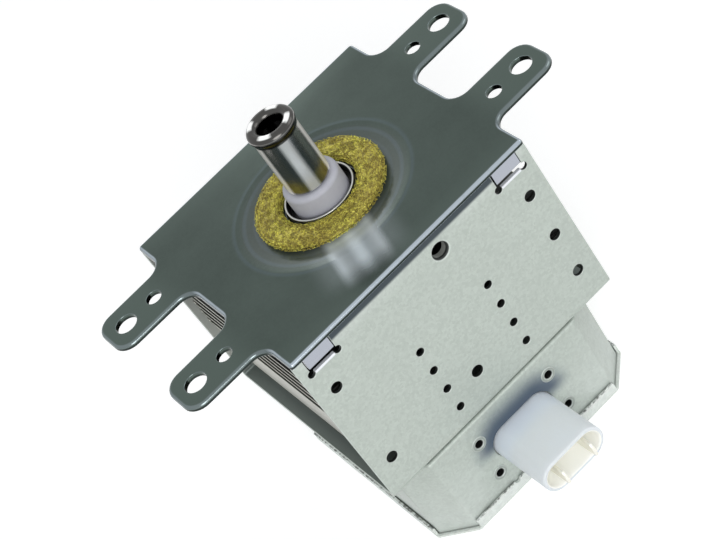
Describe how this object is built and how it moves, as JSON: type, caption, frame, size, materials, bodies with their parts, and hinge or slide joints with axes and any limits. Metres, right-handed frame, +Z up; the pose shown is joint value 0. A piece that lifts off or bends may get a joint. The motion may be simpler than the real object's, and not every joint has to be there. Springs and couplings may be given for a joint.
{
  "type": "magnetron",
  "caption": "Oven magnetron: ear-mounted plate over an open steel yoke with magnets and cooling fins, antenna with gasket above, filter box with a plug socket below.",
  "frame": {"origin": "on the antenna's axis, at the underside of the filter box lid, on which the magnetron stands", "axes": "+Z up along the antenna's axis, +X the way the cooling air flows through the open yoke, -Y the way the connector points"},
  "size_m": [0.1276, 0.1025, 0.1153],
  "materials": {
    "plated_steel": "satin",
    "galvanised_steel": "satin",
    "stainless": "polished",
    "brass_mesh": "matte",
    "white_ceramic": "satin",
    "ferrite": "matte",
    "copper": "satin",
    "aluminium": "satin",
    "tungsten": "satin",
    "molybdenum": "satin",
    "white_plastic": "satin",
    "brown_resin": "satin",
    "tinned_brass": "satin"
  },
  "bodies": {
    "root": {"mounting_plate": "plated_steel", "yoke": "galvanised_steel", "filter_box": "galvanised_steel", "filter_lid": "galvanised_steel", "lower_magnet": "ferrite", "upper_magnet": "ferrite", "upper_pole_piece": "plated_steel", "lower_pole_piece": "plated_steel", "upper_seal": "stainless", "lower_seal": "stainless", "anode_cylinder": "copper", "anode_vane_01": "copper", "anode_vane_02": "copper", "anode_vane_03": "copper", "anode_vane_04": "copper", "anode_vane_05": "copper", "anode_vane_06": "copper", "anode_vane_07": "copper", "anode_vane_08": "copper", "anode_vane_09": "copper", "anode_vane_10": "copper", "upper_inner_strap": "copper", "upper_outer_strap": "copper", "lower_inner_strap": "copper", "lower_outer_strap": "copper", "filament": "tungsten", "upper_end_shield": "molybdenum", "lower_end_shield": "molybdenum", "centre_lead": "molybdenum", "side_lead": "molybdenum", "stem_ceramic": "white_ceramic", "antenna_ceramic": "white_ceramic", "exhaust_tube": "copper", "antenna_cap": "stainless", "antenna_lead": "copper", "rf_gasket": "brass_mesh", "cooling_fin_1": "aluminium", "cooling_fin_2": "aluminium", "cooling_fin_3": "aluminium", "cooling_fin_4": "aluminium", "cooling_fin_5": "aluminium", "cooling_fin_6": "aluminium", "connector_housing": "white_plastic", "ground_plate": "galvanised_steel", "capacitor_block": "brown_resin", "terminal_left": "tinned_brass", "terminal_right": "tinned_brass", "eyelet_1": "galvanised_steel", "eyelet_2": "galvanised_steel", "eyelet_3": "galvanised_steel", "eyelet_4": "galvanised_steel", "choke_coil_left": "copper", "choke_core_left": "ferrite", "choke_coil_right": "copper", "choke_core_right": "ferrite"}
  },
  "joints": []
}
